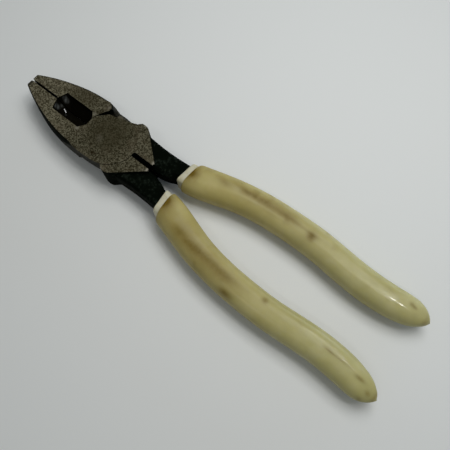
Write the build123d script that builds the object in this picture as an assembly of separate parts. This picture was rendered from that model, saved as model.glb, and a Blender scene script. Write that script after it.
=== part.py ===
from build123d import *
import os
from math import cos, radians, sin

# Lineman pliers, lying flat. Millimetres.
# +X runs to the jaw tips, +Y to the left jaw, +Z up.
# The origin is the pivot axis at the underside of the head.
#
# Two alike forgings cross at the pivot. Each has its jaw on one side and its
# handle on the other, and is cut to half its thickness where it crosses.
# The right forging is the left one turned over about the tool's long axis.

# ---- driving dimensions ----------------------------------------------------
HEAD_THICK = 16.0
MID_PLANE = HEAD_THICK / 2
LAP_PLAY = 0.04
JAW_GAP = 0.5
FACE_Y = JAW_GAP / 2

TIP_X = 57.0
TIP_HALF_WIDTH = 3.6
NOSE_CORNER = (55.7, 4.5)
NOSE_RELIEF_X = 54.4
NOSE_RELIEF_Y = 0.65
NOSE_BEVEL_DEPTH = 0.8
LEFT_NOSE_BEVEL = 2.2
RIGHT_NOSE_BEVEL = 1.1
JAW_MID = (35.0, 12.4)
JAW_REAR = (13.0, 15.5)
JAW_BEVEL = 0.6
# How far the jaw's back stands out at mid-thickness, beyond its edges.
JAW_BULGE = 1.1

GRIP_FACE_BACK = 38.0
TOOTH_PITCH = 1.25
TOOTH_DEPTH = 0.4

LEFT_POCKET_HALF = 6.2
RIGHT_POCKET_HALF = 5.6
POCKET_FRONT_X = 37.6
POCKET_BACK_X = 14.0
POCKET_WALL = 2.6
KNIFE_LAND = 0.7

SEAM_X = -0.6
SEAM_Y = -0.4
LAP_RADIUS = 16.2
SHOULDER_RADIUS = 16.5
LAP_FRONT_RADIUS = 14.2
JAW_HEEL_RADIUS = 14.5

SLOT_HALF_WIDTH = 1.4
SHOULDER_TIP_X = -29.3

TANG_THICK = 11.6
TANG_END_X = -45.0
TANG_OUTER_BEVEL = 1.2
TANG_INNER_BEVEL = 2.0

RIVET_RADIUS = 4.75
RIVET_HEAD_RADIUS = 6.0
RIVET_HEAD_DEPTH = 2.4
RIVET_PLAY = 0.05

OUTER_WALL = 1.4
LINER_WALL = 1.5
CORNER_SHARE = 0.42
COLLAR_CORNER = 2.6
# Upright planes cut both coats square at the front; x is where each plane
# passes FRONT_OFFSET out from the long axis, and its outer end leans back.
FRONT_OFFSET = 10.0
COLLAR_FRONT_X = -42.8
COLLAR_LEAN = 10.0
COAT_FRONT_X = -46.5
COAT_LEAN = 4.5

# Handle stations from the neck to the butt: centre x, distance of the centre
# from the long axis, then width and thickness over the outer coat.
HANDLE = [
    (-40.0, 9.45, 16.6, 15.3),
    (-50.0, 11.15, 17.0, 15.6),
    (-60.0, 13.95, 16.9, 15.7),
    (-74.0, 17.8, 16.2, 15.6),
    (-90.0, 20.3, 15.9, 15.4),
    (-105.0, 21.2, 15.8, 15.2),
    (-120.0, 21.2, 15.8, 15.2),
    (-135.0, 20.0, 15.8, 15.2),
    (-148.0, 19.25, 15.8, 15.2),
    (-158.0, 19.5, 15.6, 15.1),
    (-166.0, 20.35, 15.1, 14.7),
    (-172.0, 21.3, 13.8, 13.6),
    (-176.5, 21.75, 11.2, 11.3),
    (-179.5, 21.75, 7.4, 8.0),
    (-181.4, 21.6, 4.2, 5.0),
    (-182.3, 21.5, 1.6, 2.0),
]
# The right handle's end is pulled in a little: its dip came out shorter.
CURL_X = -135.0
RIGHT_SHORTER = 1.6
# Where the steel core starts, inside the tang.
CORE_START = (-44.2, 9.4, 14.6, 15.4)
# The liner shows as a collar in front of the outer coat.
COLLAR = [
    (-40.5, 9.35, 11.8, 12.4),
    (-44.5, 9.9, 13.2, 12.9),
]


def slab(edges, low, high):
    """A flat plate of a closed outline, from one height to another."""
    return Pos(0, 0, low) * extrude(make_face(edges), amount=high - low)


def on_circle(x, y, radius, angle):
    """The point of a circle at an angle in degrees."""
    return (x + radius * cos(radians(angle)), y + radius * sin(radians(angle)))


def both_faces(solid):
    """A solid at the top of the head together with its mirror at the underside."""
    return solid + solid.mirror(Plane.XY.offset(MID_PLANE))


# ---- the forgings ----------------------------------------------------------
def jaw():
    """The jaw: gripping face, knife land, heel and curved back."""
    heel_low = (JAW_HEEL_RADIUS, FACE_Y)
    heel_mid = on_circle(0, 0, JAW_HEEL_RADIUS, 10)
    heel_high = on_circle(0, 0, JAW_HEEL_RADIUS, 20)
    back_front = ThreePointArc(JAW_MID, (45.6, 9.0), NOSE_CORNER)
    back_rear = ThreePointArc(JAW_REAR, (25.0, 14.6), JAW_MID)
    edges = [
        Line((TIP_X, NOSE_RELIEF_Y), (NOSE_RELIEF_X, FACE_Y)),
        Line((NOSE_RELIEF_X, FACE_Y), heel_low),
        ThreePointArc(heel_low, heel_mid, heel_high),
        Line(heel_high, (11.0, 10.0)),
        ThreePointArc((11.0, 10.0), (10.1, 12.2), (10.8, 14.2)),
        Line((10.8, 14.2), JAW_REAR),
        back_rear,
        back_front,
        Line(NOSE_CORNER, (TIP_X, TIP_HALF_WIDTH)),
        Line((TIP_X, TIP_HALF_WIDTH), (TIP_X, NOSE_RELIEF_Y)),
    ]
    plate = slab(edges, 0, HEAD_THICK)
    rims = [
        edge
        for edge in plate.edges().filter_by(GeomType.CIRCLE)
        if edge.center().X > JAW_REAR[0] + 3 and edge.center().Z in (0, HEAD_THICK)
    ]
    return chamfer(rims, JAW_BEVEL) + jaw_back() + heel_flare()


def jaw_back():
    """The jaw's curved back, forged round: it stands out most at mid-thickness."""
    rings = []
    for height, share in ((JAW_BEVEL, 0.0), (MID_PLANE / 2, 0.7), (MID_PLANE, 1.0)):
        out = share * JAW_BULGE
        rear = (JAW_REAR[0] - 2.5 * share, JAW_REAR[1] + 0.5 * share)
        middle = (JAW_MID[0], JAW_MID[1] + out)
        edges = [
            ThreePointArc(rear, (25.0, 14.6 + out), middle),
            ThreePointArc(middle, (45.6, 9.0 + 0.6 * out), NOSE_CORNER),
            Line(NOSE_CORNER, (50.0, 4.0)),
            Line((50.0, 4.0), (18.0, 12.0)),
            Line((18.0, 12.0), rear),
        ]
        rings.append(Pos(0, 0, height) * make_face(edges))
    return both_faces(loft(rings[:2], ruled=True) + loft(rings[1:], ruled=True))


def heel_flare():
    """The forged round at the jaw's rear corner, wide at mid-thickness."""
    wide = [(15.0, 13.0), (15.0, 16.0), (9.0, 16.1), (8.6, 15.0), (9.3, 13.0), (10.1, 12.2)]
    narrow = [(15.0, 13.0), (15.0, 15.3), JAW_REAR, (10.8, 14.2), (10.3, 13.2), (10.1, 12.2)]
    inset = [(15.0, 13.0), (15.0, 15.8), (10.6, 15.9), (9.4, 14.7), (9.7, 13.1), (10.1, 12.2)]
    rings = [
        Pos(0, 0, height) * make_face(Polyline(*ring, close=True))
        for height, ring in ((MID_PLANE, wide), (MID_PLANE / 2, inset), (0, narrow))
    ]
    return loft(rings[:2], ruled=True) + loft(rings[1:], ruled=True)


def lap():
    """The crossing plate over the pivot, from the jaw round to the shoulder."""
    root_x = JAW_REAR[0] + 5
    front_high = (LAP_FRONT_RADIUS, FACE_Y)
    front_mid = on_circle(0, 0, LAP_FRONT_RADIUS, -9)
    front_low = on_circle(0, 0, LAP_FRONT_RADIUS, -19)
    seam_start = on_circle(SEAM_X, SEAM_Y, LAP_RADIUS, 90)
    seam_mid = on_circle(SEAM_X, SEAM_Y, LAP_RADIUS, 132)
    seam_end = on_circle(SEAM_X, SEAM_Y, LAP_RADIUS, 174)
    slot_corner = (-17.4, -SLOT_HALF_WIDTH)
    slot_back = (-22.0, -SLOT_HALF_WIDTH)
    edges = [
        ThreePointArc(front_high, front_mid, front_low),
        Line(front_low, (8.4, -9.7)),
        Line((8.4, -9.7), (-3.0, -12.8)),
        Line((-3.0, -12.8), (-7.0, -14.4)),
        Line((-7.0, -14.4), (-11.0, -14.6)),
        Line((-11.0, -14.6), (-22.0, -5.0)),
        Line((-22.0, -5.0), slot_back),
        Line(slot_back, slot_corner),
        ThreePointArc(slot_corner, (-16.5, 0), seam_end),
        ThreePointArc(seam_end, seam_mid, seam_start),
        Line(seam_start, (5.0, 16.15)),
        Line((5.0, 16.15), (10.5, 16.0)),
        Line((10.5, 16.0), JAW_REAR),
        Line(JAW_REAR, (root_x, 14.0)),
        Line((root_x, 14.0), (root_x, FACE_Y)),
        Line((root_x, FACE_Y), front_high),
    ]
    return slab(edges, MID_PLANE + LAP_PLAY, HEAD_THICK)


def shoulder():
    """The full-thickness shoulder behind the crossing, on the handle's side."""
    seam_low = on_circle(SEAM_X, -SEAM_Y, SHOULDER_RADIUS, 246)
    seam_mid = on_circle(SEAM_X, -SEAM_Y, SHOULDER_RADIUS, 216)
    seam_high = on_circle(SEAM_X, -SEAM_Y, SHOULDER_RADIUS, 186)
    slot_front = (-17.6, -SLOT_HALF_WIDTH)
    slot_back = (SHOULDER_TIP_X + 0.6, -SLOT_HALF_WIDTH)
    edges = [
        ThreePointArc(seam_low, seam_mid, seam_high),
        Line(seam_high, slot_front),
        Line(slot_front, slot_back),
        Line(slot_back, (SHOULDER_TIP_X, -2.5)),
        Line((SHOULDER_TIP_X, -2.5), (-13.6, -15.9)),
        ThreePointArc((-13.6, -15.9), (-11.2, -16.5), (-9.0, -16.3)),
        Line((-9.0, -16.3), seam_low),
    ]
    return slab(edges, 0, HEAD_THICK)


def tang():
    """The black neck between the shoulder and the handle's coats."""
    low = MID_PLANE - TANG_THICK / 2
    high = MID_PLANE + TANG_THICK / 2
    edges = [
        Line((-13.0, -14.4), (-20.0, -3.0)),
        Line((-20.0, -3.0), (-24.0, -1.1)),
        Line((-24.0, -1.1), (-31.0, -1.1)),
        ThreePointArc((-31.0, -1.1), (-36.5, -2.1), (-41.0, -4.0)),
        Line((-41.0, -4.0), (TANG_END_X, -5.1)),
        Line((TANG_END_X, -5.1), (TANG_END_X, -14.3)),
        ThreePointArc((TANG_END_X, -14.3), (-29.0, -13.4), (-13.0, -14.4)),
    ]
    plate = slab(edges, low, high)
    rims = [edge for edge in plate.edges() if edge.center().Z in (low, high)]
    outer = [edge for edge in rims if edge.center().Y < -13]
    plate = chamfer(outer, TANG_OUTER_BEVEL)
    rims = [
        edge
        for edge in plate.edges()
        if edge.center().Z in (low, high) and edge.center().Y > -5.5 and edge.center().X < -26
    ]
    return chamfer(rims, TANG_INNER_BEVEL)


def nose_bevel(length):
    """The wedge ground off both faces of the nose."""
    low = HEAD_THICK - NOSE_BEVEL_DEPTH
    profile = Polyline(
        (TIP_X + 1, HEAD_THICK + 1),
        (TIP_X - length, HEAD_THICK + 1),
        (TIP_X - length, HEAD_THICK),
        (TIP_X, low),
        (TIP_X + 1, low),
        close=True,
    )
    wedge = extrude(Plane.XZ * make_face(profile), amount=20, both=True)
    return both_faces(wedge)


def cutter_pocket(half_width):
    """The recess over the knives: a short wall, then bevels down to the edges."""

    def ring(height, front, shoulder_x, side_back, back, half, back_half):
        upper = [(front, 0), (shoulder_x, half), (side_back, half), (back, back_half)]
        lower = [(x, -y) for x, y in reversed(upper[1:])]
        return Pos(0, 0, height) * make_face(Polyline(*upper, *lower, close=True))

    front = POCKET_FRONT_X
    back = POCKET_BACK_X
    rim = (front, front - 2.3, back + 2.8, back, half_width, 2.3)
    above = ring(HEAD_THICK + 1, *rim)
    face = ring(HEAD_THICK, *rim)
    step_size = (front - 1.0, front - 3.3, back + 3.2, back + 0.7, half_width - 0.6, 2.0)
    step = ring(HEAD_THICK - POCKET_WALL, *step_size)
    edge = ring(MID_PLANE + KNIFE_LAND / 2, 31.5, 31.0, 18.5, 18.0, 0.2, 0.1)
    recess = loft([above, face], ruled=True)
    recess += loft([face, step], ruled=True)
    recess += loft([step, edge], ruled=True)
    return both_faces(recess)


def jaw_teeth():
    """V grooves across the gripping face."""
    half = TOOTH_PITCH / 2
    count = int((NOSE_RELIEF_X - GRIP_FACE_BACK) / TOOTH_PITCH)
    grooves = []
    for index in range(count):
        x = GRIP_FACE_BACK + (index + 0.5) * TOOTH_PITCH
        groove = Polyline(
            (x - half, FACE_Y - 0.2),
            (x - half, FACE_Y),
            (x, FACE_Y + TOOTH_DEPTH),
            (x + half, FACE_Y),
            (x + half, FACE_Y - 0.2),
            close=True,
        )
        grooves.append(slab(groove, -1, HEAD_THICK + 1))
    return grooves


def rivet(play=0.0):
    """The flush pivot rivet, or with play the hole that turns on it."""
    base = (Align.CENTER, Align.CENTER, Align.MIN)
    shank = Pos(0, 0, -play) * Cylinder(RIVET_RADIUS + play, HEAD_THICK + 2 * play, align=base)
    head = Cone(RIVET_RADIUS + play, RIVET_HEAD_RADIUS + play, RIVET_HEAD_DEPTH, align=base)
    return shank + both_faces(Pos(0, 0, HEAD_THICK - RIVET_HEAD_DEPTH) * head)


def forging(nose_length, pocket_half, rivet_hole, stations):
    """One steel half, lying with its crossing plate on top."""
    core = handle_shape([CORE_START] + stations[1:], OUTER_WALL + LINER_WALL)
    half = jaw() + lap() + shoulder() + tang() + core
    half -= cutter_pocket(pocket_half)
    for groove in jaw_teeth():
        half -= groove
    half -= nose_bevel(nose_length)
    return half - rivet_hole


# ---- the coated handle -----------------------------------------------------
def handle_section(stations, index, inset, corner=None):
    """A rounded section square to the handle, in from the outer coat's size."""
    x, y, width, thick = stations[index]
    before = stations[max(index - 1, 0)]
    after = stations[min(index + 1, len(stations) - 1)]
    along = Vector(after[0] - before[0], before[1] - after[1], 0)
    square = Plane(origin=(x, -y, MID_PLANE), x_dir=(along.Y, -along.X, 0), z_dir=along)
    wide = width - 2 * inset
    deep = thick - 2 * inset
    return square * RectangleRounded(wide, deep, corner or CORNER_SHARE * min(wide, deep))


def handle_shape(stations, inset):
    """The handle's solid at a depth under the outer coat's surface."""
    kept = [station for station in stations if min(station[2:]) - 2 * inset > 1.5]
    sections = [handle_section(kept, index, inset) for index in range(len(kept))]
    return loft(sections)


def ahead_of(front_x, lean):
    """All the room in front of an upright plane across the left half's handle."""
    room = Box(60, 80, 60, align=(Align.MIN, Align.CENTER, Align.CENTER))
    return Pos(front_x, -FRONT_OFFSET, MID_PLANE) * Rot(0, 0, -lean) * room


def liner_shape(stations):
    """The white liner as a whole, with its collar, over the steel it coats."""
    wall = 2 * OUTER_WALL
    under = [(x, y, width - wall, thick - wall) for x, y, width, thick in stations[1:]]
    rings = COLLAR + [station for station in under if min(station[2:]) > 1.5]
    corners = [COLLAR_CORNER] * len(COLLAR) + [None] * len(under)
    sections = [handle_section(rings, index, 0, corners[index]) for index in range(len(rings))]
    return loft(sections) - ahead_of(COLLAR_FRONT_X, COLLAR_LEAN)


def with_end_in(stations, shorter):
    """Handle stations with the butt pulled in, less and less towards the curl."""
    length = CURL_X - stations[-1][0]
    moved = []
    for x, y, width, thick in stations:
        moved.append((x + shorter * max(0.0, (CURL_X - x) / length), y, width, thick))
    return moved


def turned_over(solid):
    """The same piece turned half a turn about the tool's long axis."""
    return solid.rotate(Axis((0, 0, MID_PLANE), (1, 0, 0)), 180)


def half_tool(nose_length, pocket_half, rivet_hole, stations):
    """The steel, liner and coat of one half, lying with its crossing plate on top."""
    steel = forging(nose_length, pocket_half, rivet_hole, stations)
    liner_space = liner_shape(stations)
    coat = handle_shape(stations, 0) - ahead_of(COAT_FRONT_X, COAT_LEAN) - liner_space
    return steel, liner_space - steel, coat


def main():
    right_stations = with_end_in(HANDLE, RIGHT_SHORTER)
    left = half_tool(LEFT_NOSE_BEVEL, LEFT_POCKET_HALF, rivet(RIVET_PLAY), HANDLE)
    right = half_tool(RIGHT_NOSE_BEVEL, RIGHT_POCKET_HALF, rivet(), right_stations)
    nodes = {"pivot_rivet": rivet()}
    for name, left_solid, right_solid in zip(("forging", "grip_liner", "grip"), left, right):
        nodes["left_" + name] = left_solid
        nodes["right_" + name] = turned_over(right_solid)
    os.makedirs("parts", exist_ok=True)
    for name, solid in nodes.items():
        export_step(solid, f"parts/{name}.step")


main()
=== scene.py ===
import math
import bmesh
import bpy
from mathutils import Matrix, Vector, noise
from mathutils.bvhtree import BVHTree


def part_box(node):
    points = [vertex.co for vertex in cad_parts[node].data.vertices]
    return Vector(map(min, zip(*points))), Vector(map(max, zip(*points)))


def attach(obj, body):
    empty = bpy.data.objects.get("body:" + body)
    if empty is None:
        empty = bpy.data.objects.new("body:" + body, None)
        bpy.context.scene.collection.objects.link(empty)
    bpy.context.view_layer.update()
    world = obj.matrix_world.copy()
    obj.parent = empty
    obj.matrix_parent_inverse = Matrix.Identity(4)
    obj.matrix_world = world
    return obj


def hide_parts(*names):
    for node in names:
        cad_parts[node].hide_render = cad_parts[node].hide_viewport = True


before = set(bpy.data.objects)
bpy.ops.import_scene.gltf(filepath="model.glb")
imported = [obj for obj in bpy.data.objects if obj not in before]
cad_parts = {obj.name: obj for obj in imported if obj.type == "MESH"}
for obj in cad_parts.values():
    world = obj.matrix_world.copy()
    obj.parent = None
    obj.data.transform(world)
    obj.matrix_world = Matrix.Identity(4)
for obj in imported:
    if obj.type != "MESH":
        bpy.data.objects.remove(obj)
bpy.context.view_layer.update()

# Metres. +X runs to the jaw tips, +Y to the left jaw, +Z up from the floor.
MM = 0.001
HEAD_LOW, HEAD_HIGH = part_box("pivot_rivet")
HEAD_THICK = HEAD_HIGH.z - HEAD_LOW.z


# ---- the view, the floor and the light ------------------------------------
CAMERA_PLACE = Vector((-120.14, 54.75, 224.44)) * MM
CAMERA_AIM = Vector((-77.84, 0.94, 16.0)) * MM
SENSOR_WIDTH = 36.0
LENS = 36.0
NEAR_CLIP = 10 * MM

HALF_FLOOR = 1.6
FLOOR_COLOUR = (0.775, 0.79, 0.785, 1.0)
FLOOR_ROUGHNESS = 0.7

# Each light's name, place, length along X, width, power in watts and colour. The
# panel lights the table from above, the window cools the -Y sides from beyond the
# floor, the lamp makes the gleam and the strip brightens the +Y sides.
LIGHTS = [
    ("panel", (-0.09, -0.17, 0.42), 0.36, 0.24, 1.12, (1.0, 1.0, 0.985)),
    ("window", (-0.12, -1.90, 0.30), 2.60, 0.45, 6.50, (0.56, 0.76, 1.0)),
    ("lamp", (-0.44, -0.30, 0.90), 0.16, 0.035, 0.50, (1.0, 0.99, 0.95)),
    ("strip", (-0.08, 0.40, 0.85), 0.60, 0.025, 0.45, (1.0, 1.0, 0.98)),
]
LIGHT_AIM = Vector((-0.06, 0.0, 0.0))
ROOM_COLOUR = (0.95, 1.0, 0.985, 1.0)
ROOM_STRENGTH = 0.17


def make_camera():
    """A camera above the handles that looks down on the head, with no roll."""
    data = bpy.data.cameras.new("camera")
    data.sensor_width = SENSOR_WIDTH
    data.lens = LENS
    data.clip_start = NEAR_CLIP
    camera = bpy.data.objects.new("camera", data)
    bpy.context.scene.collection.objects.link(camera)
    camera.location = CAMERA_PLACE
    camera.rotation_mode = "QUATERNION"
    camera.rotation_quaternion = (CAMERA_AIM - CAMERA_PLACE).to_track_quat("-Z", "Y")
    bpy.context.scene.camera = camera


def turn_along(direction):
    """A turn that looks along a direction and keeps the local X axis near the world's."""
    back = -direction.normalized()
    up = back.cross(Vector((1, 0, 0))).normalized()
    return Matrix((up.cross(back), up, back)).transposed().to_quaternion()


def area_light(name, place, length, width, power, colour):
    """A soft light that the camera doesn't see."""
    data = bpy.data.lights.new(name, "AREA")
    data.shape = "RECTANGLE"
    data.size = length
    data.size_y = width
    data.energy = power
    data.color = colour
    light = bpy.data.objects.new(name, data)
    bpy.context.scene.collection.objects.link(light)
    light.location = Vector(place)
    light.rotation_mode = "QUATERNION"
    light.rotation_quaternion = turn_along(LIGHT_AIM - Vector(place))
    light.visible_camera = False


def make_room():
    """The lights, and a dim pale room round them."""
    for light in LIGHTS:
        area_light(*light)
    world = bpy.data.worlds.new("room")
    world.use_nodes = True
    background = world.node_tree.nodes["Background"]
    background.inputs["Color"].default_value = ROOM_COLOUR
    background.inputs["Strength"].default_value = ROOM_STRENGTH
    bpy.context.scene.world = world
    bpy.context.scene.view_settings.view_transform = "Standard"
    bpy.context.scene.view_settings.look = "None"


def make_floor():
    """A plain pale table top under the tool."""
    mesh = bpy.data.meshes.new("floor")
    half = HALF_FLOOR
    corners = [(-half, -half, 0), (half, -half, 0), (half, half, 0), (-half, half, 0)]
    mesh.from_pydata(corners, [], [(0, 1, 2, 3)])
    floor = bpy.data.objects.new("floor", mesh)
    bpy.context.scene.collection.objects.link(floor)
    material = bpy.data.materials.new("floor")
    material.use_nodes = True
    shader = material.node_tree.nodes["Principled BSDF"]
    shader.inputs["Base Color"].default_value = FLOOR_COLOUR
    shader.inputs["Roughness"].default_value = FLOOR_ROUGHNESS
    mesh.materials.append(material)


# ---- material nodes --------------------------------------------------------
class Graph:
    """The nodes of one material, with short ways to add more."""

    def __init__(self, name):
        self.material = bpy.data.materials.new(name)
        self.material.use_nodes = True
        self.nodes = self.material.node_tree.nodes
        self.links = self.material.node_tree.links
        self.shader = self.nodes["Principled BSDF"]
        self.place = self.nodes.new("ShaderNodeTexCoord").outputs["Object"]

    def feed(self, socket, value):
        """Joins a socket to another, or sets it."""
        if isinstance(value, bpy.types.NodeSocket):
            self.links.new(value, socket)
        elif socket.type == "RGBA":
            socket.default_value = (*value, 1.0)
        else:
            socket.default_value = value

    def set(self, name, value):
        """Joins or sets one of the shader's inputs."""
        self.feed(self.shader.inputs[name], value)

    def axes(self):
        """X, Y and Z of the surface's point, in the object's own frame."""
        split = self.nodes.new("ShaderNodeSeparateXYZ")
        self.links.new(self.place, split.inputs[0])
        return split.outputs["X"], split.outputs["Y"], split.outputs["Z"]

    def vertex_value(self, name):
        """A number stored at each point of the mesh."""
        node = self.nodes.new("ShaderNodeAttribute")
        node.attribute_name = name
        return node.outputs["Fac"]

    def speckle(self, size, detail=3.0, roughness=0.6):
        """Noise whose blotches are about size metres across."""
        node = self.nodes.new("ShaderNodeTexNoise")
        self.links.new(self.place, node.inputs["Vector"])
        node.inputs["Scale"].default_value = 1.0 / size
        node.inputs["Detail"].default_value = detail
        node.inputs["Roughness"].default_value = roughness
        return node.outputs["Fac"]

    def maths(self, operation, first, second=0.0):
        """One arithmetic step."""
        node = self.nodes.new("ShaderNodeMath")
        node.operation = operation
        self.feed(node.inputs[0], first)
        self.feed(node.inputs[1], second)
        return node.outputs[0]

    def times(self, first, second):
        """The product of two values."""
        return self.maths("MULTIPLY", first, second)

    def scaled(self, value, scale, offset):
        """A value scaled and then shifted."""
        return self.maths("ADD", self.times(value, scale), offset)

    def ramp(self, value, start, end):
        """0 up to the start and 1 from the end, smooth between; the end may be the lower."""
        node = self.nodes.new("ShaderNodeMapRange")
        node.interpolation_type = "SMOOTHSTEP"
        self.links.new(value, node.inputs["Value"])
        node.inputs["From Min"].default_value = start
        node.inputs["From Max"].default_value = end
        return node.outputs["Result"]

    def ramp_mm(self, value, start, end):
        """The same for a length, with its start and end in millimetres."""
        return self.ramp(value, start * MM, end * MM)

    def band_mm(self, value, low, high, soft):
        """1 between two millimetre limits, with ends softened over soft on each side."""
        rise = self.ramp_mm(value, low - soft, low + soft)
        fall = self.ramp_mm(value, high - soft, high + soft)
        return self.maths("SUBTRACT", rise, fall)

    def mix(self, factor, low, high):
        """A colour that goes from low to high with a factor."""
        node = self.nodes.new("ShaderNodeMix")
        node.data_type = "RGBA"
        self.feed(node.inputs["Factor"], factor)
        self.feed(node.inputs[6], low)
        self.feed(node.inputs[7], high)
        return node.outputs[2]

    def mix_value(self, factor, low, high):
        """A number that goes from low to high with a factor."""
        node = self.nodes.new("ShaderNodeMix")
        self.feed(node.inputs["Factor"], factor)
        self.feed(node.inputs[2], low)
        self.feed(node.inputs[3], high)
        return node.outputs[0]

    def spots(self, place, height, marks):
        """Soft round marks at a height in metres: x, y and radius in millimetres, and strength."""
        total = None
        for x, y, radius, strength in marks:
            away = self.nodes.new("ShaderNodeVectorMath")
            away.operation = "DISTANCE"
            self.links.new(place, away.inputs[0])
            away.inputs[1].default_value = (x * MM, y * MM, height)
            mark = self.times(self.ramp_mm(away.outputs["Value"], radius, 0.3 * radius), strength)
            total = mark if total is None else self.maths("MAXIMUM", total, mark)
        return total

    def bump(self, height, depth, strength):
        """Relief of a depth in metres."""
        node = self.nodes.new("ShaderNodeBump")
        node.inputs["Strength"].default_value = strength
        node.inputs["Distance"].default_value = depth
        self.links.new(height, node.inputs["Height"])
        self.set("Normal", node.outputs["Normal"])


# ---- the steel's material --------------------------------------------------
# Colours of the ground faces: grain at the lap, grain at the jaws, then what lies on it, and last
# the painted shade of the gap between the jaws.
LAP_DARK = (0.022, 0.019, 0.009)
LAP_LIGHT = (0.130, 0.120, 0.080)
JAW_DARK = (0.042, 0.036, 0.019)
JAW_LIGHT = (0.225, 0.205, 0.140)
DULL_BROWN = (0.045, 0.038, 0.020)
WARM_BROWN = (0.110, 0.088, 0.058)
OIL_BROWN = (0.030, 0.026, 0.012)
RUBBED_METAL = (0.27, 0.25, 0.20)
RUST_BLACK = (0.016, 0.010, 0.003)
SEAM_SHADE_BLACK = (0.006, 0.005, 0.004)
# Colours of the forged and milled surfaces, among them painted light: a floor reflection on the
# flanks, shade in the recess, highlights on its bevels and a glint on a knife.
OXIDE_BLACK = (0.0020, 0.0032, 0.0018)
OXIDE_SHEEN = (0.014, 0.019, 0.014)
BROWNED_DARK = (0.020, 0.016, 0.010)
BROWNED_LIGHT = (0.095, 0.085, 0.060)
# Grey for the floor's reflection painted on the flanks.
FLANK_REFLECTION_GREY = (0.080, 0.078, 0.068)
NOSE_BROWN = (0.040, 0.036, 0.024)
# Near black for the shade painted in the cutter recess.
RECESS_SHADE_BLACK = (0.004, 0.003, 0.002)
# Grey for the highlights painted on the recess's front bevels.
RECESS_HIGHLIGHT_GREY = (0.085, 0.090, 0.085)
# White for the glint painted on the left knife's bevel.
GLINT_WHITE = (0.90, 0.90, 0.92)

# Marks on the ground top of the head: x, y and radius in millimetres, and strength.
RUST = [
    (0.3, 12.3, 1.3, 1.0),
    (-1.0, 11.8, 1.0, 0.8),
    (4.2, 9.0, 1.0, 0.8),
    (40.8, 8.0, 1.2, 0.6),
    (43.0, 4.0, 0.9, 0.5),
    (42.4, 1.8, 1.0, 0.6),
    (45.0, -2.2, 1.0, 0.7),
    (48.0, 2.5, 0.8, 0.4),
    (-3.8, 14.4, 0.9, 0.6),
]
RUBBED = [
    (11.6, -12.6, 1.4, 0.5),
    (15.0, -5.0, 1.8, 0.35),
    (16.5, 6.6, 1.8, 0.5),
    (38.0, 3.6, 1.8, 0.35),
    (-28.6, 2.3, 1.5, 1.0),
    (-27.0, 3.4, 1.2, 0.5),
    (-28.6, -2.3, 1.5, 1.0),
    (2.8, 4.0, 3.2, 0.12),
    (4.2, 3.2, 2.0, 0.10),
    (-11.2, -16.2, 1.6, 0.5),
    (-9.0, 16.2, 1.6, 0.4),
]
OILED = [
    (1.0, -2.0, 17.0, 0.62),
    (27.0, -10.0, 14.0, 0.50),
]
# Marks in the cutter recess, in the same terms: painted highlights on the bevels at its front, and a
# painted glint on a knife's bevel.
RECESS_HIGHLIGHTS = [
    (35.0, -2.7, 1.9, 1.0),
    (35.6, 3.4, 1.9, 0.9),
    (34.9, 1.2, 1.2, 0.5),
    (29.4, 3.7, 0.7, 0.6),
]
KNIFE_GLINT_MARKS = [
    (33.2, 1.50, 0.35, 1.0),
    (32.6, 1.75, 0.4, 1.0),
    (32.0, 2.05, 0.4, 1.0),
    (31.4, 2.3, 0.35, 1.0),
]
# Half the width of the painted shade along the gripping faces' top edges, beside the gap between the
# jaws, in millimetres.
SEAM_SHADE_HALF_WIDTH = 0.68
# How steeply the upper edge of the floor reflection painted on the flanks falls towards the jaw
# tips.
FLANK_SLOPE = 0.45


class SteelGraph(Graph):
    """The steel's nodes, with the measures and grains that its surfaces share."""

    def __init__(self, name):
        super().__init__(name)
        self.x, y, self.z = self.axes()
        self.beside_seam = self.maths("ABSOLUTE", y)
        self.off_middle = self.maths("ABSOLUTE", self.maths("SUBTRACT", self.z, HEAD_THICK / 2))
        self.grain = self.speckle(0.75 * MM, 3.0, 0.65)
        self.coarse = self.speckle(2.2 * MM)
        self.oxide_grain = self.speckle(1.3 * MM, 4.0, 0.65)
        plan = self.nodes.new("ShaderNodeCombineXYZ")
        self.links.new(self.x, plan.inputs["X"])
        self.links.new(y, plan.inputs["Y"])
        self.plan = plan.outputs[0]


def ground_grain(steel):
    """Grain that is dark over the lap and paler towards the jaws."""
    towards_jaws = steel.ramp_mm(steel.x, 6, 36)
    dark = steel.mix(towards_jaws, LAP_DARK, JAW_DARK)
    light = steel.mix(towards_jaws, LAP_LIGHT, JAW_LIGHT)
    colour = steel.mix(steel.ramp(steel.grain, 0.40, 0.62), dark, light)
    dull = steel.times(steel.ramp(steel.coarse, 0.50, 0.70), 0.5)
    colour = steel.mix(dull, colour, DULL_BROWN)
    warm = steel.times(steel.ramp(steel.speckle(7.0 * MM), 0.45, 0.70), 0.35)
    return steel.mix(warm, colour, WARM_BROWN)


def seam_shade(steel):
    """Where shade of the gap between the jaws is painted along the gripping faces' top edges."""
    beside = steel.ramp_mm(steel.beside_seam, SEAM_SHADE_HALF_WIDTH, 0.8 * SEAM_SHADE_HALF_WIDTH)
    return steel.times(beside, steel.band_mm(steel.x, 37.5, 53.6, 1.0))


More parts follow.
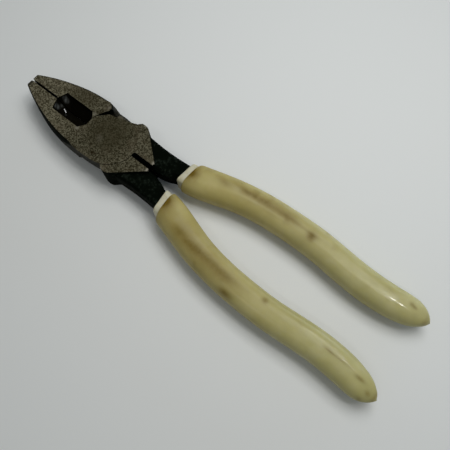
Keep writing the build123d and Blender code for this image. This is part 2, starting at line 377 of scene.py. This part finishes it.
def ground_colour(steel):
    """The ground faces: their grain, then oil, rubbed places, rust and the painted shade beside the
    jaws' gap.
    """
    top = HEAD_HIGH.z
    oiled = steel.spots(steel.place, top, OILED)
    colour = steel.mix(oiled, ground_grain(steel), OIL_BROWN)
    broken = steel.scaled(steel.ramp(steel.coarse, 0.36, 0.58), 0.75, 0.25)
    rubbed = steel.times(steel.spots(steel.place, top, RUBBED), broken)
    colour = steel.mix(rubbed, colour, RUBBED_METAL)
    pits = steel.ramp(steel.speckle(1.4 * MM, 2.0, 0.5), 0.68, 0.76)
    rust = steel.maths("MAXIMUM", steel.spots(steel.place, top, RUST), steel.times(pits, 0.7))
    rust = steel.times(rust, steel.ramp(steel.grain, 0.3, 0.5))
    colour = steel.mix(rust, colour, RUST_BLACK)
    # Painted shade of the gap between the jaws, along their gripping edges.
    return steel.mix(seam_shade(steel), colour, SEAM_SHADE_BLACK)


def oxide(steel):
    """Black oxide with a faint broken sheen."""
    fine = steel.ramp(steel.oxide_grain, 0.42, 0.68)
    mottle = steel.ramp(steel.speckle(4.0 * MM), 0.46, 0.64)
    return steel.mix(steel.times(fine, mottle), OXIDE_BLACK, OXIDE_SHEEN)


def flank_reflection(steel):
    """Where the floor's reflection is painted in grey on the head's sides, below a sloping edge."""
    outside = steel.ramp_mm(steel.beside_seam, 13.2, 13.8)
    where = steel.times(steel.band_mm(steel.x, -8.5, 27.0, 1.5), outside)
    leaning = steel.maths("ADD", steel.z, steel.times(steel.x, FLANK_SLOPE))
    below = steel.ramp_mm(leaning, 20.5, 18.5)
    return steel.times(where, steel.times(below, steel.scaled(steel.coarse, 1.0, 0.1)))


def nose(steel):
    """The bevels round the jaw tips."""
    return steel.times(steel.ramp_mm(steel.x, 54.4, 54.8), steel.ramp_mm(steel.off_middle, 6.8, 7.1))


def crossing(steel):
    """The ledges at mid-thickness, where one half lies on the other."""
    level = steel.ramp_mm(steel.off_middle, 0.12, 0.06)
    return steel.times(level, steel.ramp_mm(steel.beside_seam, 15.5, 15.0))


def heel(steel):
    """The forged round behind each jaw, near mid-thickness."""
    where = steel.band_mm(steel.x, 7.0, 11.0, 0.5)
    where = steel.times(where, steel.ramp_mm(steel.beside_seam, 10.0, 11.5))
    where = steel.times(where, steel.ramp_mm(steel.off_middle, 5.0, 2.5))
    return steel.times(where, 0.35)


def recess(steel):
    """The cutter recess, darkened as painted shade."""
    where = steel.band_mm(steel.x, 14.5, 37.2, 0.5)
    where = steel.times(where, steel.ramp_mm(steel.beside_seam, 6.8, 6.4))
    return steel.times(where, 0.8)


def recess_highlights(steel):
    """Where highlights are painted grey on the recess's front bevels, with streaks."""
    streaks = steel.nodes.new("ShaderNodeTexWave")
    streaks.bands_direction = "DIAGONAL"
    streaks.inputs["Scale"].default_value = 1.0 / (5.0 * MM)
    streaks.inputs["Distortion"].default_value = 3.0
    steel.links.new(steel.place, streaks.inputs["Vector"])
    inside = steel.band_mm(steel.z, 9.0, 15.3, 0.3)
    where = steel.times(steel.spots(steel.plan, 0.0, RECESS_HIGHLIGHTS), inside)
    return steel.times(where, steel.scaled(streaks.outputs["Fac"], 0.6, 0.3))


def knife_glint(steel):
    """Where a white glint is painted on the left knife's upper bevel."""
    upper = steel.ramp_mm(steel.z, 8.5, 9.0)
    return steel.times(steel.spots(steel.plan, 0.0, KNIFE_GLINT_MARKS), upper)


def forged_colour(steel):
    """Everything but the ground faces: oxide, the places where it is worn or dirty, and painted
    light: the floor's reflection on the flanks, shade in the recess, highlights on its bevels and a
    glint on a knife.
    """
    browned = steel.mix(steel.ramp(steel.coarse, 0.42, 0.60), BROWNED_DARK, BROWNED_LIGHT)
    # The floor's reflection, painted grey on the lower flanks.
    colour = steel.mix(flank_reflection(steel), oxide(steel), FLANK_REFLECTION_GREY)
    colour = steel.mix(nose(steel), colour, NOSE_BROWN)
    colour = steel.mix(crossing(steel), colour, browned)
    colour = steel.mix(heel(steel), colour, browned)
    # Painted shade in the cutter recess.
    colour = steel.mix(recess(steel), colour, RECESS_SHADE_BLACK)
    # Painted highlights on the recess's front bevels.
    colour = steel.mix(recess_highlights(steel), colour, RECESS_HIGHLIGHT_GREY)
    # Painted glint on the left knife's upper bevel.
    return steel.mix(knife_glint(steel), colour, GLINT_WHITE)


def forged_steel():
    """Black oxide all over, ground bare on both faces of the head, browned by use."""
    steel = SteelGraph("forged_steel")
    face = HEAD_THICK / 2
    ground = steel.ramp(steel.off_middle, face - 0.12 * MM, face - 0.03 * MM)
    steel.set("Base Color", steel.mix(ground, forged_colour(steel), ground_colour(steel)))
    rough_oxide = steel.scaled(steel.oxide_grain, 0.3, 0.3)
    rough_ground = steel.scaled(steel.grain, 0.3, 0.4)
    steel.set("Roughness", steel.mix_value(ground, rough_oxide, rough_ground))
    steel.set("Metallic", steel.times(ground, 0.4))
    steel.set("Specular IOR Level", 0.03)
    steel.set("IOR", 1.12)
    steel.bump(steel.mix_value(ground, steel.oxide_grain, steel.grain), 0.08 * MM, 0.6)
    return steel.material


# ---- the plastics' materials -----------------------------------------------
LINER_CLEAN = (0.56, 0.53, 0.385)
LINER_GRUBBY = (0.50, 0.44, 0.28)
# The coats' darker and lighter clouds, at the collar and at the butt.
COLLAR_DARK = (0.430, 0.365, 0.130)
COLLAR_LIGHT = (0.510, 0.445, 0.185)
BUTT_DARK = (0.440, 0.405, 0.170)
BUTT_LIGHT = (0.520, 0.485, 0.240)
# Brown for the marks of use and for the shade painted underneath the coats.
STAIN_AND_SHADE_BROWN = (0.150, 0.093, 0.003)


def liner_plastic():
    """Off-white dipped plastic, a little grubby."""
    liner = Graph("liner_plastic")
    soil = liner.speckle(3.0 * MM, 4.0, 0.6)
    liner.set("Base Color", liner.mix(liner.ramp(soil, 0.45, 0.8), LINER_CLEAN, LINER_GRUBBY))
    liner.set("Roughness", 0.42)
    liner.set("Subsurface Weight", 0.2)
    liner.set("Subsurface Radius", (1.0, 0.8, 0.5))
    liner.set("Subsurface Scale", 1.0 * MM)
    liner.bump(soil, 0.08 * MM, 0.4)
    return liner.material


def yellowed(coat):
    """The coats' clouded yellow, browner at the collar than at the butt."""
    towards_butt = coat.ramp_mm(coat.axes()[0], -75, -150)
    dark = coat.mix(towards_butt, COLLAR_DARK, BUTT_DARK)
    light = coat.mix(towards_butt, COLLAR_LIGHT, BUTT_LIGHT)
    cloud = coat.speckle(20.0 * MM, 3.0, 0.55)
    return coat.mix(coat.ramp(cloud, 0.35, 0.7), dark, light)


def coat_plastic():
    """Slightly clear yellowed plastic, browned by marks of use and by painted shade underneath,
    mostly dulled by hands.
    """
    coat = Graph("coat_plastic")
    fine = coat.speckle(1.6 * MM)
    stain_and_shade = coat.vertex_value("stain_and_shade")
    stain_and_shade_mix = coat.times(stain_and_shade, coat.scaled(fine, 0.3, 0.88))
    # The marks of use and the painted shade underneath both turn the coat brown.
    coat.set("Base Color", coat.mix(stain_and_shade_mix, yellowed(coat), STAIN_AND_SHADE_BROWN))
    coat.set("Roughness", coat.scaled(fine, 0.12, 0.46))
    broken = coat.scaled(coat.ramp(fine, 0.44, 0.56), 0.5, 0.5)
    gleam = coat.scaled(coat.times(coat.vertex_value("shine"), broken), 0.95, 0.05)
    coat.set("Coat Weight", coat.times(gleam, coat.scaled(stain_and_shade, -0.9, 1.0)))
    coat.set("Coat Roughness", 0.08)
    coat.set("Specular IOR Level", 0.2)
    coat.set("Subsurface Weight", 0.35)
    coat.set("Subsurface Radius", (1.0, 0.85, 0.35))
    coat.set("Subsurface Scale", 3.0 * MM)
    coat.bump(fine, 0.03 * MM, 0.25)
    return coat.material


# ---- the wear and the painted shade on the coats ---------------------------
# Stains of use on each coat, in millimetres: x and y of the middle, half the
# length along the handle, half the width, and how dark.
STAINS = {
    "left_grip": [
        (-47.5, -10.5, 2.4, 2.8, 0.60),
        (-47.0, -10.5, 3.4, 9.0, 0.50),
        (-180.0, -19.8, 1.6, 3.0, 0.45),
        (-63.5, -17.0, 4.0, 1.8, 0.40),
        (-75.0, -19.8, 6.0, 1.5, 0.35),
        (-86.5, -20.6, 6.0, 2.3, 0.34),
        (-91.0, -21.0, 14.0, 2.0, 0.16),
        (-99.5, -21.4, 6.0, 1.9, 0.34),
        (-96.0, -24.0, 12.0, 3.0, 0.24),
        (-110.0, -21.6, 9.0, 0.6, 0.22),
        (-114.2, -20.4, 2.2, 2.3, 0.80),
        (-158.0, -21.8, 2.5, 1.2, 0.20),
        (-169.8, -22.4, 1.2, 1.1, 0.55),
        (-171.8, -22.0, 1.0, 0.8, 0.55),
        (-76.0, -19.0, 32.0, 5.5, 0.20),
    ],
    "right_grip": [
        (-46.8, 9.0, 2.4, 3.0, 0.60),
        (-47.5, 9.5, 4.5, 9.0, 0.55),
        (-178.8, 22.6, 1.6, 3.0, 0.45),
        (-62.0, 17.0, 5.0, 2.2, 0.35),
        (-72.5, 18.8, 7.5, 2.4, 0.42),
        (-84.0, 19.8, 8.0, 2.1, 0.26),
        (-94.0, 20.8, 7.0, 2.6, 0.40),
        (-82.0, 22.0, 22.0, 5.0, 0.32),
        (-98.0, 27.0, 3.5, 1.5, 0.70),
        (-115.0, 18.2, 1.6, 1.3, 0.75),
        (-134.0, 16.8, 3.0, 1.0, 0.15),
        (-151.0, 18.4, 3.0, 0.5, 0.55),
        (-157.5, 18.6, 4.0, 0.5, 0.45),
        (-168.5, 20.0, 2.6, 0.8, 0.60),
        (-174.8, 23.0, 1.4, 1.2, 0.50),
        (-173.6, 27.4, 1.5, 1.0, 0.50),
        (-62.0, 14.5, 24.0, 6.5, 0.28),
    ],
}
# Where each coat still gleams, in the same terms as the stains.
GLEAMS = {
    "left_grip": [
        (-162.5, -19.2, 6.5, 1.5, 1.0),
        (-146.0, -20.0, 20.0, 6.0, 0.22),
        (-120.0, -28.0, 60.0, 3.2, 0.8),
        (-105.0, -17.4, 45.0, 1.6, 0.38),
    ],
    "right_grip": [
        (-146.0, 20.0, 20.0, 6.0, 0.40),
        (-120.0, 13.5, 50.0, 3.0, 0.8),
        (-110.0, 24.2, 15.0, 1.4, 0.70),
    ],
}
# How sharply the marks fade, how far their outlines wander and over what distance.
FADE = 0.9
WANDER = 0.25 * MM
WANDER_SIZE = 5 * MM
# Dirt all over: the size of its blotches, where in their noise it starts, and how much.
GRIME_SIZE = 9 * MM
GRIME_START = 0.4
GRIME = 0.4
# Painted shade underneath, in the same brown: how much, and how much more in the blotches.
UNDER_SHADE = 0.28
UNDER_SHADE_BLOTCHES = 0.2
# How far from mid-height the marks on top and the painted shade underneath are at their full
# strength.
TOP_FULL = 3 * MM
UNDER_FULL = 4 * MM


def clamp(value):
    """A value held between 0 and 1."""
    return min(1.0, max(0.0, value))


def marks_at(point, marks):
    """How strongly a coat is marked at a point, with slightly uneven outlines."""
    wander = noise.noise_vector(point / WANDER_SIZE) * WANDER
    x = (point.x + wander.x) / MM
    y = (point.y + wander.y) / MM
    total = 0.0
    for middle_x, middle_y, half_length, half_width, strength in marks:
        away = ((x - middle_x) / half_length) ** 2 + ((y - middle_y) / half_width) ** 2
        total += strength * math.exp(-away * FADE)
    return min(total, 1.0)


def paint_wear_and_shade(mesh, node):
    """Stores how dark each point is from marks, dirt and painted shade, and how shiny it is: marks
    on top, painted shade underneath.
    """
    middle = HEAD_THICK / 2
    stain_and_shade_layer = mesh.attributes.new("stain_and_shade", "FLOAT", "POINT")
    gleams = mesh.attributes.new("shine", "FLOAT", "POINT")
    for index, vertex in enumerate(mesh.vertices):
        top = clamp((vertex.co.z - middle) / TOP_FULL)
        under = clamp((middle - vertex.co.z) / UNDER_FULL)
        grime = noise.fractal(vertex.co / GRIME_SIZE, 0.8, 2.0, 3)
        # Underneath, the coat is darkened as painted shade, blotched by the dirt's noise.
        grime_and_shade = GRIME * max(0.0, grime - GRIME_START) + under * (UNDER_SHADE + UNDER_SHADE_BLOTCHES * grime)
        stain_and_shade_layer.data[index].value = clamp(top * marks_at(vertex.co, STAINS[node]) + grime_and_shade)
        gleams.data[index].value = top * marks_at(vertex.co, GLEAMS[node])


# ---- the dipped handles ----------------------------------------------------
# Points round a handle, and the distance between rings along it.
SPOKES = 72
STEP = 1.0 * MM
# How far back the rings take to turn from square to the front face to square to the line.
FRONT_BLEND = 14 * MM
# Where rings lie on a rounded front edge, as shares of its radius.
LIP_SHARES = [0.0, 0.12, 0.35, 0.7]
# How far behind the foremost point a part's slanting front face may reach.
FRONT_DEPTH = 6 * MM
# How much of the centre line is left out at each end, and how far short of the CAD
# solid's ends the skin stops.
FRONT_MARGIN, BUTT_MARGIN = 9 * MM, 0.8 * MM
FRONT_GAP, BUTT_GAP = 0.04 * MM, 0.08 * MM
# Farther out than any outside, to look back from.
FAR = 30 * MM
# The least reach of a ring, and the least room that the hollow inside the wall needs.
LEAST_REACH = 0.1 * MM
LEAST_HOLLOW = 0.4 * MM
# Wall, radius of the front edge and unevenness of each dipped layer.
LINER_WALL, LINER_LIP, LINER_LUMP = 0.35 * MM, 0.5 * MM, 0.03 * MM
COAT_WALL, COAT_LIP, COAT_LUMP = 1.38 * MM, 1.2 * MM, 0.05 * MM
LUMP_SIZE = 11 * MM


def station_sides(node, x, reach=1.2 * MM):
    """The least and the greatest y of a CAD node's points near one x."""
    near = [v.co.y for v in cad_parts[node].data.vertices if abs(v.co.x - x) < reach]
    return min(near), max(near)


def centre_line(node):
    """Points along the middle of a dipped part, from its front to its butt."""
    low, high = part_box(node)
    count = int((high.x - low.x) / (2 * STEP))
    middle_z = (low.z + high.z) / 2
    points = []
    for index in range(count + 1):
        x = high.x - (index + 0.5) * (high.x - low.x) / (count + 1)
        near, far = station_sides(node, x)
        points.append(Vector((x, (near + far) / 2, middle_z)))
    for _ in range(6):
        inner = [(a + 2 * b + c) / 4 for a, b, c in zip(points, points[1:], points[2:])]
        points = [points[0]] + inner + [points[-1]]
    return points


def resample(points, step):
    """The same line with points an even step apart."""
    lengths = [0.0]
    for a, b in zip(points, points[1:]):
        lengths.append(lengths[-1] + (b - a).length)
    count = max(2, round(lengths[-1] / step))
    placed = []
    index = 0
    for number in range(count + 1):
        target = lengths[-1] * number / count
        while index < len(points) - 2 and lengths[index + 1] < target:
            index += 1
        span = lengths[index + 1] - lengths[index]
        placed.append(points[index].lerp(points[index + 1], (target - lengths[index]) / span))
    return placed


def front_face(node):
    """The middle of a dipped part's flat front, and the way the front faces."""
    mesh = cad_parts[node].data
    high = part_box(node)[1]
    flat = [p for p in mesh.polygons if p.normal.x > 0.9 and p.center.x > high.x - FRONT_DEPTH]
    outward = sum((p.normal * p.area for p in flat), Vector()).normalized()
    rim = [mesh.vertices[index].co for p in flat for index in p.vertices]
    lows = [min(c[axis] for c in rim) for axis in range(3)]
    highs = [max(c[axis] for c in rim) for axis in range(3)]
    return (Vector(lows) + Vector(highs)) / 2, outward


def skin_line(node, front, outward):
    """A line through a dipped part, from just behind its front to just inside its butt."""
    low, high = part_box(node)
    first, last = high.x - FRONT_MARGIN, low.x + BUTT_MARGIN
    inner = [p for p in centre_line(node) if last < p.x < first]
    back = (inner[-1] - inner[-2]).normalized()
    corners = [v.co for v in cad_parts[node].data.vertices]
    back_reach = max((c - inner[-1]).dot(back) for c in corners)
    line = [front - outward * FRONT_GAP] + inner
    line.append(inner[-1] + back * (back_reach - BUTT_GAP))
    return resample(line, STEP)


def tangents(points):
    """The way a line runs at each of its points."""
    last = len(points) - 1
    return [(points[min(i + 1, last)] - points[max(i - 1, 0)]).normalized() for i in range(last + 1)]


def ring_runs(points, outward):
    """The line's run at each point, turned square to the front face near it."""
    runs = []
    for index, run in enumerate(tangents(points)):
        share = max(0.0, 1.0 - index * STEP / FRONT_BLEND)
        runs.append((run * (1.0 - share) - outward * share).normalized())
    return runs


def spoke(along, index):
    """One of the directions square to a line's run, counted round it from its side."""
    angle = 2 * math.pi * index / SPOKES
    side = Vector((0, 0, 1)).cross(along).normalized()
    up = along.cross(side)
    return side * math.cos(angle) + up * math.sin(angle)


def measure(node, points, runs):
    """How far the CAD solid's outside stands from its centre line, round each point."""
    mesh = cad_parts[node].data
    tree = BVHTree.FromPolygons([v.co for v in mesh.vertices], [p.vertices for p in mesh.polygons])
    rings = []
    for point, along in zip(points, runs):
        ring = []
        for index in range(SPOKES):
            out = spoke(along, index)
            hit = tree.ray_cast(point + out * FAR, -out)[0]
            ring.append((hit - point).length if hit else 0.0)
        rings.append(ring)
    return rings


def ease(rings, passes):
    """Averages each ring with its neighbours, so that facets don't show."""
    for _ in range(passes):
        soft = [list(ring) for ring in rings]
        for i in range(1, len(rings) - 1):
            for k in range(SPOKES):
                around = rings[i][k - 1] + rings[i][(k + 1) % SPOKES]
                beside = rings[i - 1][k] + rings[i + 1][k]
                soft[i][k] = rings[i][k] / 2 + (around + beside) / 8
        rings = soft
    return rings


def lip_inset(back, radius):
    """How far a rounded front edge stands in, some way back from the front."""
    return radius - math.sqrt(radius ** 2 - (radius - back) ** 2)


def skin_stations(points, runs, reaches, lip):
    """Where the skin has rings: the middle, run and reaches of each, and the edge's inset."""
    length = (points[1] - points[0]).length
    stations = []
    for share in LIP_SHARES:
        away = share * lip
        index = int(away / length)
        part = away / length - index
        place = points[index].lerp(points[index + 1], part)
        reach = [a + (b - a) * part for a, b in zip(reaches[index], reaches[index + 1])]
        stations.append((place, runs[index], reach, lip_inset(away, lip)))
    for index in range(int(lip / length) + 1, len(points)):
        stations.append((points[index], runs[index], reaches[index], 0.0))
    return stations


def skin_ring(station, depth, lump):
    """A ring of points at a depth under the outside, a little uneven."""
    place, along, reach, inset = station
    ring = []
    for index in range(SPOKES):
        out = spoke(along, index)
        dip = (noise.noise((place + out * reach[index]) / LUMP_SIZE) + 1) * lump
        ring.append(place + out * max(reach[index] - inset - depth - dip, LEAST_REACH))
    return ring


def tube_mesh(name, rings):
    """A closed skin over rings of points; each end is closed with a fan."""
    bm = bmesh.new()
    rows = [[bm.verts.new(p) for p in ring] for ring in rings]
    for lower, upper in zip(rows, rows[1:]):
        for k in range(SPOKES):
            n = (k + 1) % SPOKES
            bm.faces.new((lower[k], lower[n], upper[n], upper[k]))
    for row in (rows[0], rows[-1]):
        middle = bm.verts.new(sum((v.co for v in row), Vector()) / SPOKES)
        for k in range(SPOKES):
            bm.faces.new((row[k], row[(k + 1) % SPOKES], middle))
    bmesh.ops.recalc_face_normals(bm, faces=bm.faces)
    mesh = bpy.data.meshes.new(name)
    bm.to_mesh(mesh)
    bm.free()
    mesh.shade_smooth()
    return mesh


def dipped_skin(name, node, wall, lip, lump):
    """The coat or liner of one handle, as a closed shell with a rounded front edge."""
    front, outward = front_face(node)
    points = skin_line(node, front, outward)
    runs = ring_runs(points, outward)
    reaches = ease(measure(node, points, runs), 3)
    stations = skin_stations(points, runs, reaches, lip)
    inside = [skin_ring(s, wall, lump) for s in stations if min(s[2]) > wall + LEAST_HOLLOW]
    outside = [skin_ring(s, 0.0, lump) for s in stations]
    return tube_mesh(name, inside[::-1] + outside)


def add_piece(name, mesh, material, body, node):
    """Puts a mesh in the scene as the stand-in for a CAD node."""
    mesh.materials.append(material)
    piece = bpy.data.objects.new(name, mesh)
    bpy.context.scene.collection.objects.link(piece)
    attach(piece, body)
    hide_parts(node)


def make_handles():
    """Both liners and both coats."""
    liner = liner_plastic()
    coat = coat_plastic()
    for side in ("left", "right"):
        body = side + "_half"
        node = side + "_grip_liner"
        mesh = dipped_skin(node + "_skin", node, LINER_WALL, LINER_LIP, LINER_LUMP)
        add_piece(node + "_skin", mesh, liner, body, node)
        node = side + "_grip"
        mesh = dipped_skin(node + "_coat", node, COAT_WALL, COAT_LIP, COAT_LUMP)
        paint_wear_and_shade(mesh, node)
        add_piece(node + "_coat", mesh, coat, body, node)


# ---- the steel -------------------------------------------------------------
EDGE_WEAR = 0.12 * MM


def soften_edges(piece, width):
    """Rounds a CAD part's edges a little, as tumbling and wear do."""
    flat = piece.modifiers.new("flat", "DECIMATE")
    flat.decimate_type = "DISSOLVE"
    flat.angle_limit = math.radians(0.3)
    worn = piece.modifiers.new("worn", "BEVEL")
    worn.width = width
    worn.segments = 2
    worn.limit_method = "ANGLE"
    worn.angle_limit = math.radians(28)
    worn.harden_normals = True


def make_steel():
    """The forgings and the rivet keep their CAD shape."""
    steel = forged_steel()
    for name in ("left_forging", "right_forging", "pivot_rivet"):
        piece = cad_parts[name]
        piece.data.materials.clear()
        piece.data.materials.append(steel)
        soften_edges(piece, EDGE_WEAR)


make_camera()
make_room()
make_floor()
make_steel()
make_handles()
